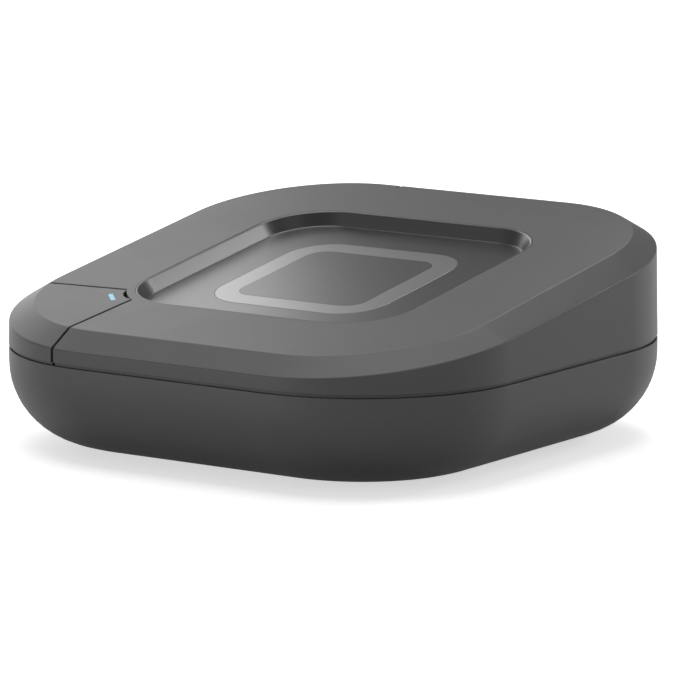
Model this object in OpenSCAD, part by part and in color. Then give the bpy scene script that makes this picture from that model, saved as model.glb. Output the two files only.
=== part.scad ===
// Streaming media player: a rounded-square, wedge-topped box with a sunk dish in its lid,
// a lit press key at its low corner and a row of sockets in a bay at its tall rear.
// Front is -Y, rear is +Y. The underside of the feet lies on z = 0.

/* [Housing] */
// Length of each side of the housing in plan
side = 120; // [116:1:146]
// Radius of the four plan corners
corner_r = 36.5; // [30:0.5:40]
// Height of the bottom shell, floor to rim
base_h = 20.1; // [19:0.1:24]
// Radius of the bowl-like lower edge
bowl_r = 17.3; // [12:0.1:19]
// Wall thickness of both shells
wall = 2; // [1.6:0.1:2.4]
// Open shadow line between the two shells
seam_gap = 0.7; // [0.6:0.1:1]
// Height of the sloping top above the shadow line, at the middle
lid_rise = 15.5; // [15:0.1:24]
// Slope of the top towards the rear, in degrees
tilt = 9.3; // [6:0.1:10]
// Width of the slanted edge round the top, seen from above
edge_run = 5.7; // [3:0.1:7]
// Depth of the slanted edge round the top
edge_drop = 3.4; // [2.4:0.1:4]

/* [Feet and screws] */
// How far the rubber feet stand out below the floor
foot_proud = 1.3; // [0.8:0.1:2]
// Diameter of a rubber foot
foot_d = 6; // [6:0.5:10]
// Radius of a foot's dome
foot_dome = 3.4; // [3.4:0.1:6]
// Distance of a foot from the middle, along X and Y
foot_at = 33.5; // [26:0.5:34]
// Shank diameter of the case screws
case_screw_d = 2.6; // [2:0.1:3]

/* [Dish] */
// Half side of the dish at the top surface
dish_half = 34.4; // [30:0.1:35]
// Plan radius of the dish corners
dish_r = 16; // [14:0.5:20]
// Depth of the dish floor below the top surface
dish_depth = 3; // [2.5:0.1:3.2]
// Width of the sloping dish wall, seen from above
dish_run = 3; // [1:0.1:4]
// Outer half side of the light ring
ring_half = 21.4; // [20:0.1:22.5]
// Outer corner radius of the light ring
ring_r = 9.7; // [7:0.1:10]
// Width of the light ring
ring_w = 5.3; // [4:0.1:6]
// How far the ring and the centre pad stand above the dish floor
ring_proud = 0.3; // [0:0.1:0.6]

/* [Corner key] */
// Distance of the key's two straight seams from the middle of the housing
key_edge = 29; // [28:0.1:31]
// Width of the seams round the key
key_gap = 0.5; // [0.4:0.05:0.7]
// Travel of the key when it is pressed
key_travel = 0.5; // [0.3:0.05:0.55]
// Length of the light slot
slot_l = 4.6; // [3:0.1:6]
// Width of the light slot
slot_w = 1; // [0.8:0.1:1.6]

/* [Main board] */
// Thickness of the circuit boards
pcb_t = 1.6; // [1:0.1:1.8]
// Height of the main board's top above the shadow line's lower edge
pcb_rise = 1.7; // [1.6:0.1:1.9]
// Side of the heatsink
sink_side = 50; // [40:1:54]
// Height of the heatsink fins
fin_h = 9; // [4:0.5:10]

/* [Rear bay] */
// Half width of the socket bay
bay_half = 36.4; // [35.6:0.1:37]
// Depth of the bay behind the rear face
bay_depth = 4.2; // [4.2:0.1:5]
// Height of the bay
bay_h = 14.8; // [14.2:0.1:15]
// Bore of the power socket
power_bore_d = 5.7; // [5.5:0.1:6.4]
// Diameter of the power socket's centre pin
power_pin_d = 2; // [1.6:0.1:2.5]

/* [Hidden] */
$fn = 64;
eps = 0.01;
half = side / 2;
centre = half - corner_r;

// Levels
floor_z = foot_proud;
rim_z = floor_z + base_h;
lid_z = rim_z + seam_gap;
top_z = lid_z + lid_rise;
pcb_top = rim_z + pcb_rise;
pcb_low = pcb_top - pcb_t;
inner_floor = floor_z + wall;

// Sloping top
slant = atan(edge_drop / edge_run);
top_half = half - edge_run;
top_r = corner_r - edge_run - 0.4;
top_half_y = top_half / cos(tilt);
edge_depth = edge_drop * cos(tilt);
edge_cut = 9;
tall = 90;

// Clearances
fit = 0.3;
snug = 0.1;

// Tongue on the bottom shell's rim
tongue_w = 1.2;
tongue_h = seam_gap + 0.3;
tongue_root = 2;

// Screw posts
post_x = half - 14;
post_front = -22;
post_rear = 26;
POSTS = [[post_x, post_front], [post_x, post_rear], [-post_x, post_front], [-post_x, post_rear]];
post_d = 8;
boss_d = 7;
screw_head_d = 5;
screw_head_h = 1.8;
screw_seat = floor_z + 4.8;
screw_l = 24;
foot_recess = 0.8;
foot_flat = 0.5;
BOARD_SCREWS = [[0, -47], [0, 40]];
board_post_d = 6;
board_screw_d = 2;
board_head_d = 3.8;
board_head_h = 1.4;
board_screw_l = 8;

// Main board
pcb_half = half - bay_depth - 2;
pcb_r = corner_r - bay_depth - 2;
soc_at = [0, 4];
soc_side = 21;
soc_h = 1.2;
pad_h = 1;
sink_base = 3;
sink_top = pcb_low - soc_h - pad_h;
sink_hole = sink_side / 2 - 4;
fins = 11;
fin_t = 1.2;
chip_h = 1;
can_wall = 0.3;
wifi_t = 0.8;
antenna_t = 0.8;
antenna_z = lid_z + 2.4;
lead_d = 1.2;
lead_sides = 8;
lead_z = pcb_top + lead_d / 2 + 0.05;
lead_end_z = lid_z + 4.4;
wifi_edge = 45;
wifi_front = -10;
INDUCTORS = [[-35, 12], [-35, 20.5], [-27, 12]];
inductor_side = 6.5;
CAPACITORS = [[-31, 33], [-39, 33], [37.5, 28], [37.5, 36]];
capacitor_d = 6.3;
capacitor_h = 8;
ribbon_x = -8;
ribbon_y = 31.9;
ribbon_w = 8;
ribbon_t = 0.3;
ribbon_v = 26;
ribbon_socket_h = 2.4;

// Dish, ring and pad, as depths below the sloping top
lip = 0.2;
land = 0.6;
flange_w = 3.6;
flange_t = 1.4;
tray_t = 1.6;
tray_low = dish_depth + tray_t;
ring_top = dish_depth - ring_proud;
ring_flange = 1.2;
ring_low = tray_low + ring_flange;
ring_in = ring_half - ring_w;
pad_half = ring_in - snug;
pad_t = 2.1;
ledge_w = 1.6;
led_gap = 0.6;
led_h = 0.8;
led_side = 2;
led_top = ring_low + led_gap;
ring_board_top = led_top + led_h;
ring_board_t = 1;
ring_board_half = 29;
ring_board_in = 13;
ring_board_r = 8;
ribbon_deep = ring_board_top + ring_board_t + 1;
ribbon_start = [ribbon_v * cos(tilt) + ribbon_deep * sin(tilt) + 0.03,
    top_z + ribbon_v * sin(tilt) - ribbon_deep * cos(tilt)];
ring_boss_at = 25.5;
ring_boss_d = 5;
ring_screw_d = 1.6;
ring_screw_l = 4;

// Corner key
tip_r = 4.5;
guard = 2.6;
dish_corner = dish_half - dish_r;
shelf_t = 1.4;
shelf_z = rim_z + 3.5;
well_t = 1.4;
well_inset = 0.8;
key_reach = -key_edge + key_gap / 2 + well_t + fit;
stem_at = -40;
stem_d = 4;
peg_d = 2.4;
PEGS = [[-50.5, -34], [-34, -50.5]];
stem_gap = 0.25;
switch_side = 5.2;
switch_h = 1.2;
plunger_d = 2.4;
plunger_tip = 1.8;
plunger_travel = 0.3;
led_at = -33.9;
status_led_h = 1.1;

// Rear bay and sockets
bay_y = half - bay_depth;
bay_low = lid_z + 1.6;
panel_t = 1.6;
panel_over = 1.2;
panel_low = bay_low - 0.75;
panel_high = bay_low + bay_h + 0.65;
socket_y = bay_y - 0.2;
frame_t = 1.6;
power_x = -30;
reset_x = -20.5;
optical_x = -11;
hdmi_x = 4;
ethernet_x = 24;
power_w = 9;
power_h = 11;
power_l = 14.2;
power_rise = 6.5;
power_depth = 9.5;
optical_w = 9.7;
optical_h = 10;
optical_l = 13.5;
optical_hole = 8;
optical_depth = 9;
shutter_t = 0.6;
shutter_pin_d = 0.9;
shutter_y = socket_y - 0.8;
shutter_z = pcb_top + optical_h - 1.6;
hdmi_w = 15;
hdmi_h = 5.6;
hdmi_l = 11.2;
hdmi_rise = 0.6;
ethernet_w = 15.9;
ethernet_h = 13.4;
ethernet_l = 21.3;
ethernet_hole_w = 11.8;
ethernet_hole_h = 8.2;
ethernet_depth = 13.5;
reset_d = 3;
reset_travel = 0.5;
usb_y = 8;
usb_w = 13.1;
usb_h = 5.7;
usb_l = 14;
usb_rise = 0.4;
shell_t = 0.4;

// ---- shared shapes ----

// Rounded rectangle in 2D, given by its half sides
module plate(hx, hy, r) {
    square([2 * (hx - r), 2 * hy], center = true);
    square([2 * hx, 2 * (hy - r)], center = true);
    for (sx = [-1, 1], sy = [-1, 1])
        translate([sx * (hx - r), sy * (hy - r)])
            circle(r);
}

module slab(h, r, z, t) {
    translate([0, 0, z])
        linear_extrude(t)
            plate(h, h, r);
}

// A slab laid parallel to the sloping top: from depth `deep` up to depth `top` below it
module tilted_slab(h, r, deep, top) {
    on_top()
        slab(h, r, -deep, deep - top);
}

module on_top() {
    translate([0, 0, top_z])
        rotate([tilt, 0, 0])
            children();
}

// Rounded block whose upper face, at z = 0, has the given half sides and whose sides spread by `grow`
module frustum(hx, hy, r, h, grow) {
    cx = hx - r;
    cy = hy - r;
    for (sx = [-1, 1], sy = [-1, 1])
        translate([sx * cx, sy * cy, -h])
            cylinder(h = h, r1 = r + grow, r2 = r);
    rotate([90, 0, 0])
        linear_extrude(2 * cy, center = true)
            polygon([[-hx - grow, -h], [hx + grow, -h], [hx, 0], [-hx, 0]]);
    rotate([90, 0, 90])
        linear_extrude(2 * cx, center = true)
            polygon([[-hy - grow, -h], [hy + grow, -h], [hy, 0], [-hy, 0]]);
}

// The lid's solid form, shrunk inwards by t and starting at height z
module lid_form(t, z) {
    k = t * tan(slant / 2);
    intersection() {
        slab(half - t, corner_r - t, z, tall);
        on_top()
            translate([0, 0, -t])
                union() {
                    frustum(top_half - k, top_half_y - k, top_r - k, edge_cut,
                        edge_cut * edge_run / edge_depth);
                    translate([-tall, -tall, -edge_cut - tall])
                        cube([2 * tall, 2 * tall, tall + eps]);
                }
    }
}

// Half section of the bowl, from its corner axis outwards, shrunk inwards by t
module bowl_section(r, t, top) {
    arc = bowl_r - t;
    low = floor_z + t;
    translate([0, low])
        square([r - t - arc, top - low]);
    translate([0, low + arc])
        square([r - t, top - low - arc]);
    intersection() {
        translate([r - t - arc, low + arc])
            circle(arc);
        translate([0, low])
            square([r - t, arc]);
    }
}

// The bowl's solid form, shrunk inwards by t, up to height top
module bowl_form(t, top) {
    for (sx = [-1, 1], sy = [-1, 1])
        translate([sx * centre, sy * centre, 0])
            rotate_extrude()
                bowl_section(corner_r, t, top);
    for (a = [0, 90])
        rotate([90, 0, a])
            linear_extrude(2 * centre, center = true)
                for (m = [0, 1])
                    mirror([m, 0])
                        bowl_section(half, t, top);
}

module ring_wall(h_out, r_out, w, z, t) {
    translate([0, 0, z])
        linear_extrude(t)
            difference() {
                plate(h_out, h_out, r_out);
                plate(h_out - w, h_out - w, r_out - w);
            }
}

module box(x0, x1, y0, y1, z0, z1) {
    translate([x0, y0, z0])
        cube([x1 - x0, y1 - y0, z1 - z0]);
}

// A cylinder from height z0 to z1
module pillar(at, d, z0, z1) {
    translate([at[0], at[1], z0])
        cylinder(h = z1 - z0, d = d);
}

// Pan-head screw, head downwards at z = 0, shank upwards
module screw(d, l, head_d, head_h) {
    difference() {
        translate([0, 0, -head_h])
            cylinder(h = head_h, d = head_d);
        for (a = [0, 90])
            rotate([0, 0, a])
                translate([0, 0, -head_h])
                    cube([head_d * 0.6, head_d * 0.16, head_h], center = true);
    }
    cylinder(h = l, d = d);
}

// Unit vector along a route at point i
function along(pts, i) =
    let (v = pts[min(i + 1, len(pts) - 1)] - pts[max(i - 1, 0)])
    v / norm(v);

// One ring of a lead's skin at point i
function ring_at(pts, i, r) =
    let (t = along(pts, i), side = cross(t, [0, 0, 1]), u = side / norm(side), w = cross(u, t))
    [for (k = [0 : lead_sides - 1]) pts[i] + r * (cos(k * 360 / lead_sides) * u + sin(k * 360 / lead_sides) * w)];

// Round lead through a list of points
module lead(pts, d) {
    n = len(pts);
    m = lead_sides;
    lower = [for (i = [0 : n - 2], k = [0 : m - 1]) [i * m + k, i * m + (k + 1) % m, (i + 1) * m + k]];
    upper = [for (i = [0 : n - 2], k = [0 : m - 1])
        [i * m + (k + 1) % m, (i + 1) * m + (k + 1) % m, (i + 1) * m + k]];
    first = [for (k = [0 : m - 1]) m - 1 - k];
    last = [for (k = [0 : m - 1]) (n - 1) * m + k];
    polyhedron([for (i = [0 : n - 1]) each ring_at(pts, i, d / 2)], concat([first], lower, upper, [last]));
}

// ---- housing ----

module bottom_shell() {
    color("#333437")
        difference() {
            union() {
                difference() {
                    bowl_form(0, rim_z);
                    bowl_form(wall, rim_z + eps);
                }
                ring_wall(half - wall + fit, corner_r - wall + fit, tongue_w + 2 * fit,
                    rim_z - tongue_root, tongue_root);
                intersection() {
                    ring_wall(half - wall - fit, corner_r - wall - fit, tongue_w, rim_z - eps, tongue_h + eps);
                    translate([0, 0, -key_travel - snug])
                        lid_form(wall, rim_z - 2);
                }
                intersection() {
                    bowl_form(wall / 2, pcb_low);
                    union() {
                        for (p = POSTS)
                            pillar(p, post_d, floor_z, pcb_low);
                        for (p = BOARD_SCREWS)
                            pillar(p, board_post_d, floor_z, pcb_low);
                    }
                }
            }
            for (p = POSTS) {
                pillar(p, screw_head_d + 1, -eps, screw_seat);
                pillar(p, case_screw_d + fit, -eps, pcb_low + eps);
            }
            for (p = BOARD_SCREWS)
                pillar(p, board_screw_d, pcb_low - board_screw_l, pcb_low + eps);
            for (sx = [-1, 1], sy = [-1, 1])
                pillar([sx * foot_at, sy * foot_at], foot_d + 2 * snug, -eps, floor_z + foot_recess);
            // rim cut away behind the sockets
            box(-bay_half - 7, bay_half + 7, bay_y - 4, half, rim_z, rim_z + tall);
            bottom_vents();
        }
}

module bottom_vents() {
    slot_len = 34;
    for (i = [-3 : 3])
        translate([i * 5, soc_at[1], 0])
            linear_extrude(inner_floor + 1)
                plate(1, slot_len / 2, 0.99);
}

// The corner of the lid that the key fills, with room g round the straight seams
module key_notch(g) {
    difference() {
        box(-tall, -key_edge + g, -tall, -key_edge + g, 0, tall);
        translate([-dish_corner, -dish_corner, 0])
            cylinder(h = tall, r = dish_r + guard);
    }
}

module top_shell() {
    color("#3a3b3e")
        difference() {
            union() {
                difference() {
                    lid_form(0, lid_z);
                    lid_form(wall, lid_z - 1);
                    key_notch(key_gap / 2);
                }
                key_well();
                bay_frame();
                intersection() {
                    lid_form(wall / 2, pcb_top);
                    for (p = POSTS)
                        pillar(p, boss_d, pcb_top, tall);
                }
            }
            dish_opening();
            panel_pocket();
            bay_cut();
            for (p = POSTS)
                pillar(p, case_screw_d, pcb_top - eps, screw_seat + screw_l + 1);
            // side socket
            box(-half - 1, -half + wall + eps, usb_y - usb_w / 2 - fit, usb_y + usb_w / 2 + fit,
                pcb_top + usb_rise - fit, pcb_top + usb_rise + usb_h + fit);
            rear_notch();
        }
}

module dish_opening() {
    over = dish_half + 2 * snug;
    on_top()
        slab(over, dish_r + 2 * snug, -wall - 1, wall + 2);
    on_top()
        translate([0, 0, 0.01])
            frustum(over + 0.4, over + 0.4, dish_r + 0.6, 0.41, -0.4);
}

// Small V-shaped index notch in the rear edge of the top
module rear_notch() {
    on_top()
        translate([-half / 3, top_half_y, -0.8])
            linear_extrude(2)
                polygon([[-0.6, 1], [0.6, 1], [0, -2.4]]);
}

// Shelf and return walls that guide the key
module key_well() {
    inner = -key_edge + key_gap / 2;
    difference() {
        intersection() {
            lid_form(wall + well_inset, shelf_z);
            box(-tall, inner + well_t, -tall, inner + well_t, shelf_z, shelf_z + shelf_t);
        }
        pillar([stem_at, stem_at], stem_d + 2 * fit, 0, tall);
        for (p = PEGS)
            pillar(p, peg_d + 2 * fit, 0, tall);
        slot_bar(slot_l + 2 * fit, slot_w + 2 * fit, 0, tall);
    }
    difference() {
        intersection() {
            lid_form(wall / 2, shelf_z);
            union() {
                box(inner, inner + well_t, -tall, inner + well_t, shelf_z, tall);
                box(-tall, inner + well_t, inner, inner + well_t, shelf_z, tall);
            }
        }
        translate([-dish_corner, -dish_corner, shelf_z + shelf_t])
            cylinder(h = tall, r = dish_r + fit);
    }
}

module bay_frame() {
    reach = bay_half + panel_over + frame_t;
    intersection() {
        lid_form(wall / 2, lid_z);
        box(-reach, reach, bay_y - panel_t, half, lid_z, panel_high + frame_t);
    }
}

module panel_pocket() {
    reach = bay_half + panel_over + snug;
    box(-reach, reach, bay_y - panel_t - 1, bay_y, panel_low - snug, panel_high + snug);
}

module bay_cut() {
    box(-bay_half, bay_half, bay_y - eps, half + 1, bay_low, bay_low + bay_h);
}

module rear_panel() {
    color("#1f2022")
        difference() {
            box(-bay_half - panel_over, bay_half + panel_over, bay_y - panel_t, bay_y,
                panel_low, panel_high);
            panel_hole(power_x, power_w, pcb_top, power_h);
            panel_hole(optical_x, optical_w, pcb_top, optical_h);
            panel_hole(hdmi_x, hdmi_w, pcb_top + hdmi_rise, hdmi_h);
            panel_hole(ethernet_x, ethernet_w, pcb_top, ethernet_h);
            translate([reset_x, bay_y + 1, pcb_top + reset_d])
                rotate([90, 0, 0])
                    cylinder(h = panel_t + 2, d = reset_d + 2 * fit);
            for (i = [0 : 3])
                box(hdmi_x - 7 + i * 4, hdmi_x - 4.6 + i * 4, bay_y - panel_t - 1, bay_y + 1,
                    pcb_top + 9, pcb_top + 13);
        }
}

module panel_hole(x, w, z, h) {
    box(x - w / 2 - fit / 2, x + w / 2 + fit / 2, bay_y - panel_t - 1, bay_y + 1, z - fit / 2, z + h + fit / 2);
}

module foot(sx, sy) {
    color("#151515")
        translate([sx * foot_at, sy * foot_at, 0])
            union() {
                intersection() {
                    cylinder(h = floor_z + eps, d = foot_d);
                    translate([0, 0, sqrt(foot_dome * foot_dome - foot_flat * foot_flat)])
                        sphere(foot_dome);
                }
                translate([0, 0, floor_z])
                    cylinder(h = foot_recess, d = foot_d);
            }
}

module foot_front_left() {
    foot(-1, -1);
}

module foot_front_right() {
    foot(1, -1);
}

module foot_rear_left() {
    foot(-1, 1);
}

module foot_rear_right() {
    foot(1, 1);
}

module case_screws() {
    color("#77797c")
        for (p = POSTS)
            translate([p[0], p[1], screw_seat])
                screw(case_screw_d, screw_l, screw_head_d, screw_head_h);
}

// ---- dish, light ring and pad ----

module dish_tray() {
    color("#2b2c2f")
        difference() {
            union() {
                tilted_slab(dish_half, dish_r, wall, lip);
                difference() {
                    tilted_slab(dish_half + flange_w, dish_r + flange_w, wall + flange_t, wall);
                    box(-tall, key_reach, -tall, key_reach, 0, tall);
                }
                tilted_slab(dish_half - 1, dish_r - 1, tray_low, wall);
                on_top()
                    for (sx = [-1, 1], sy = [-1, 1])
                        pillar([sx * ring_boss_at, sy * ring_boss_at], ring_boss_d,
                            -ring_board_top, -tray_low + 0.2);
            }
            on_top()
                translate([0, 0, -lip + eps])
                    frustum(dish_half - land, dish_half - land, dish_r - land, dish_depth - lip + eps,
                        land - dish_run);
            tilted_slab(ring_half + snug, ring_r + snug, tray_low + 1, 0);
            on_top()
                for (sx = [-1, 1], sy = [-1, 1])
                    pillar([sx * ring_boss_at, sy * ring_boss_at], ring_screw_d, -ring_board_top - 1,
                        -tray_low + 0.4);
        }
}

module ring_light_guide() {
    color("#8d8e90")
        difference() {
            union() {
                tilted_slab(ring_half, ring_r, ring_low, ring_top);
                tilted_slab(ring_half + 2, ring_r + 2, ring_low, tray_low);
            }
            tilted_slab(ring_in, ring_r - ring_w, ring_top + pad_t, 0);
            tilted_slab(ring_in - ledge_w, ring_r - ring_w - ledge_w, ring_low + 1, 0);
        }
}

module centre_pad() {
    color("#3f4043")
        tilted_slab(pad_half, ring_r - ring_w - snug, ring_top + pad_t, ring_top);
}

module ring_board() {
    color("#1d3b2a")
        difference() {
            tilted_slab(ring_board_half, ring_board_r, ring_board_top + ring_board_t, ring_board_top);
            tilted_slab(ring_board_in, ring_board_r / 4, ring_board_top + ring_board_t + 1, ring_board_top - 1);
            on_top()
                for (sx = [-1, 1], sy = [-1, 1])
                    pillar([sx * ring_boss_at, sy * ring_boss_at], ring_screw_d + fit,
                        -ring_board_top - 2, 0);
        }
}

module ring_leds() {
    mid = ring_half - ring_w / 2;
    color("#f4f4ee")
        on_top()
            for (a = [0 : 90 : 270], i = [-1 : 1])
                rotate([0, 0, a])
                    box(i * 9 - led_side / 2, i * 9 + led_side / 2, mid - led_side / 2, mid + led_side / 2,
                        -ring_board_top, -led_top);
}

module ring_board_screws() {
    color("#b8babc")
        on_top()
            for (sx = [-1, 1], sy = [-1, 1])
                translate([sx * ring_boss_at, sy * ring_boss_at, -ring_board_top - ring_board_t])
                    screw(ring_screw_d, ring_screw_l, 3.2, 1);
}

// ---- corner key ----

// Upright bar whose length runs square to the corner's diagonal
module slot_bar(l, w, z0, z1) {
    translate([led_at, led_at, z0])
        rotate([0, 0, -45])
            translate([-l / 2, -w / 2, 0])
                cube([l, w, z1 - z0]);
}

module corner_key() {
    edge = key_edge + key_gap / 2;
    color("#3a3b3e")
        difference() {
            union() {
                difference() {
                    intersection() {
                        lid_form(0, lid_z);
                        box(-tall, -edge, -tall, -edge, 0, tall);
                    }
                    lid_form(wall, lid_z - 1);
                    translate([-key_edge, -key_edge, 0])
                        cylinder(h = tall, r = tip_r);
                }
                intersection() {
                    lid_form(wall / 2, lid_z);
                    union() {
                        pillar([stem_at, stem_at], stem_d, pcb_top + plunger_tip + stem_gap, tall);
                        for (p = PEGS)
                            pillar(p, peg_d, shelf_z, tall);
                    }
                }
            }
            slot_bar(slot_l, slot_w, 0, tall);
        }
}

module key_light_pipe() {
    color("#9fdcf2")
        intersection() {
            lid_form(0, lid_z);
            slot_bar(slot_l, slot_w, pcb_top + status_led_h + key_travel + 0.2, tall);
        }
}

module status_led() {
    color("#f4f4ee")
        translate([led_at, led_at, pcb_top])
            rotate([0, 0, -45])
                box(-1.6, 1.6, -0.8, 0.8, 0, status_led_h);
}

module key_switch_body() {
    color("#c9cbcd")
        difference() {
            box(stem_at - switch_side / 2, stem_at + switch_side / 2, stem_at - switch_side / 2,
                stem_at + switch_side / 2, pcb_top, pcb_top + switch_h);
            pillar([stem_at, stem_at], plunger_d + 2 * snug, pcb_top + 0.3, tall);
        }
}

module key_switch_plunger() {
    color("#26272a")
        pillar([stem_at, stem_at], plunger_d, pcb_top + 0.3 + plunger_travel + snug, pcb_top + plunger_tip);
}

// ---- main board ----

module main_board() {
    color("#1d3b2a")
        difference() {
            slab(pcb_half, pcb_r, pcb_low, pcb_t);
            for (p = POSTS)
                pillar(p, case_screw_d + 2 * fit, pcb_low - 1, pcb_top + 1);
            for (p = BOARD_SCREWS)
                pillar(p, board_screw_d + fit, pcb_low - 1, pcb_top + 1);
            for (sx = [-1, 1], sy = [-1, 1])
                pillar(soc_at + sink_hole * [sx, sy], board_screw_d + fit, pcb_low - 1, pcb_top + 1);
        }
}

module board_screws() {
    color("#b8babc")
        for (p = BOARD_SCREWS)
            translate([p[0], p[1], pcb_top])
                rotate([180, 0, 0])
                    screw(board_screw_d, pcb_t + board_screw_l - 1, board_head_d, board_head_h);
}

module soc_chip() {
    color("#1a1a1c")
        box(soc_at[0] - soc_side / 2, soc_at[0] + soc_side / 2, soc_at[1] - soc_side / 2,
            soc_at[1] + soc_side / 2, pcb_low - soc_h, pcb_low);
}

module thermal_pad() {
    color("#8fa3b0")
        box(soc_at[0] - soc_side / 2, soc_at[0] + soc_side / 2, soc_at[1] - soc_side / 2,
            soc_at[1] + soc_side / 2, sink_top, sink_top + pad_h);
}

module heatsink() {
    pitch = (sink_side - fin_t) / (fins - 1);
    color("#9a9da1")
        translate([soc_at[0], soc_at[1], 0])
            difference() {
                union() {
                    box(-sink_side / 2, sink_side / 2, -sink_side / 2, sink_side / 2,
                        sink_top - sink_base, sink_top);
                    for (i = [0 : fins - 1])
                        box(i * pitch - sink_side / 2, i * pitch - sink_side / 2 + fin_t, -sink_side / 2,
                            sink_side / 2, sink_top - sink_base - fin_h, sink_top - sink_base + eps);
                    for (sx = [-1, 1], sy = [-1, 1])
                        pillar(sink_hole * [sx, sy], 5, sink_top - eps, pcb_low);
                }
                for (sx = [-1, 1], sy = [-1, 1])
                    pillar(sink_hole * [sx, sy], board_screw_d, sink_top - 1.5, pcb_low + 1);
            }
}

module heatsink_screws() {
    color("#b8babc")
        for (sx = [-1, 1], sy = [-1, 1])
            translate([soc_at[0] + sx * sink_hole, soc_at[1] + sy * sink_hole, pcb_top])
                rotate([180, 0, 0])
                    screw(board_screw_d, pcb_t + 3, board_head_d, board_head_h);
}

module memory_chips() {
    color("#1a1a1c")
        for (sx = [-1, 1], sy = [-1, 1])
            translate([soc_at[0] + sx * 9, soc_at[1] + sy * 8, pcb_top])
                box(-4.5, 4.5, -6.5, 6.5, 0, chip_h);
}

module memory_shield() {
    color("#aeb2b6")
        difference() {
            box(-15, 15, soc_at[1] - 16, soc_at[1] + 16, pcb_top, pcb_top + 2);
            box(-15 + can_wall, 15 - can_wall, soc_at[1] - 16 + can_wall, soc_at[1] + 16 - can_wall,
                pcb_top - 1, pcb_top + 2 - can_wall);
        }
}

module storage_chip() {
    color("#1a1a1c")
        box(-27, -15.5, 28, 39, pcb_top, pcb_top + chip_h);
}

module wifi_board() {
    color("#223a5a")
        box(32, wifi_edge, wifi_front, 8, pcb_top, pcb_top + wifi_t);
}

module wifi_can() {
    color("#aeb2b6")
        box(33, 44, -6, 7, pcb_top + wifi_t, pcb_top + wifi_t + 1.6);
}

// Height up to which the lid's side wall is upright inside, at place y
function antenna_top(y) = top_z + y * tan(tilt) - edge_drop - wall;

module antenna_right() {
    color("#b87333")
        box(half - wall - antenna_t, half - wall, -15, 15, antenna_z, antenna_top(-15));
}

module antenna_left() {
    color("#b87333")
        box(-half + wall, -half + wall + antenna_t, -22, -4, antenna_z, antenna_top(-22));
}

module antenna_lead_right() {
    last = half - wall - antenna_t;
    color("#8a8a8a")
        lead([[wifi_edge, -2, lead_z], [wifi_edge + 3, -2, lead_z], [50.5, -1.6, lead_z + 0.6],
            [53, -0.6, lead_end_z - 0.6], [last - 2, 0, lead_end_z], [last, 0, lead_end_z]], lead_d);
}

module antenna_lead_left() {
    last = -half + wall + antenna_t;
    color("#3c3c3e")
        lead([[34, wifi_front, lead_z], [34, -13, lead_z], [33, -24, lead_z], [31.5, -33, lead_z],
            [27, -37, lead_z], [-16, -37, lead_z], [-22, -35, lead_z], [-27, -30.5, lead_z],
            [-31, -24.5, lead_z], [-37, -19, lead_z], [-46, -14, lead_z], [-51, -12.4, lead_z + 0.6],
            [-53.6, -12, lead_end_z - 0.6], [last + 1.6, -12, lead_end_z], [last, -12, lead_end_z]], lead_d);
}

module ribbon_sockets() {
    color("#e7e2d2") {
        on_top()
            box(ribbon_x - ribbon_w / 2 - 1, ribbon_x + ribbon_w / 2 + 1, ribbon_v - 5, ribbon_v,
                -ribbon_deep - 1, -ring_board_top - ring_board_t);
        box(ribbon_x - ribbon_w / 2 - 1, ribbon_x + ribbon_w / 2 + 1, ribbon_y - 1.5, ribbon_y + 1.5,
            pcb_top, pcb_top + ribbon_socket_h);
    }
}

// Flat cable from the ring board's socket, over a bend, down to the main board's socket
module ribbon_cable() {
    p = ribbon_start;
    t = ribbon_t / 2;
    low = pcb_top + ribbon_socket_h;
    bend = 1.4;
    color("#e9e9e6")
        translate([ribbon_x - ribbon_w / 2, 0, 0])
            rotate([90, 0, 90])
                linear_extrude(ribbon_w)
                    polygon([[p[0], p[1] - t], [ribbon_y - bend, p[1] - t], [ribbon_y - t, p[1] - bend],
                        [ribbon_y - t, low], [ribbon_y + t, low], [ribbon_y + t, p[1] - bend + t],
                        [ribbon_y - bend + t, p[1] + t], [p[0], p[1] + t]]);
}

module power_inductors() {
    color("#3a3a3a")
        for (p = INDUCTORS)
            box(p[0] - inductor_side / 2, p[0] + inductor_side / 2, p[1] - inductor_side / 2,
                p[1] + inductor_side / 2, pcb_top, pcb_top + 3);
}

module bulk_capacitors() {
    color("#b9bcc0")
        for (p = CAPACITORS)
            difference() {
                union() {
                    box(p[0] - capacitor_d / 2, p[0] + capacitor_d / 2, p[1] - capacitor_d / 2,
                        p[1] + capacitor_d / 2, pcb_top, pcb_top + 0.8);
                    pillar(p, capacitor_d, pcb_top + 0.8 - eps, pcb_top + capacitor_h);
                }
                translate([p[0], p[1], pcb_top + 1.4])
                    rotate_extrude()
                        translate([capacitor_d / 2, 0])
                            circle(0.35);
            }
}

module crystal() {
    color("#c4c7ca")
        box(20, 23.2, 20, 22.5, pcb_top, pcb_top + 0.8);
}

// ---- sockets ----

module hdmi_outline(w, h) {
    polygon([[-w / 2, h], [w / 2, h], [w / 2, h * 0.38], [w / 2 - h * 0.3, 0], [-w / 2 + h * 0.3, 0],
        [-w / 2, h * 0.38]]);
}

// Places a shape drawn in X-Z at a socket, running inwards from depth y
module inwards(x, y, z) {
    translate([x, y, z])
        rotate([90, 0, 0])
            children();
}

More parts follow.
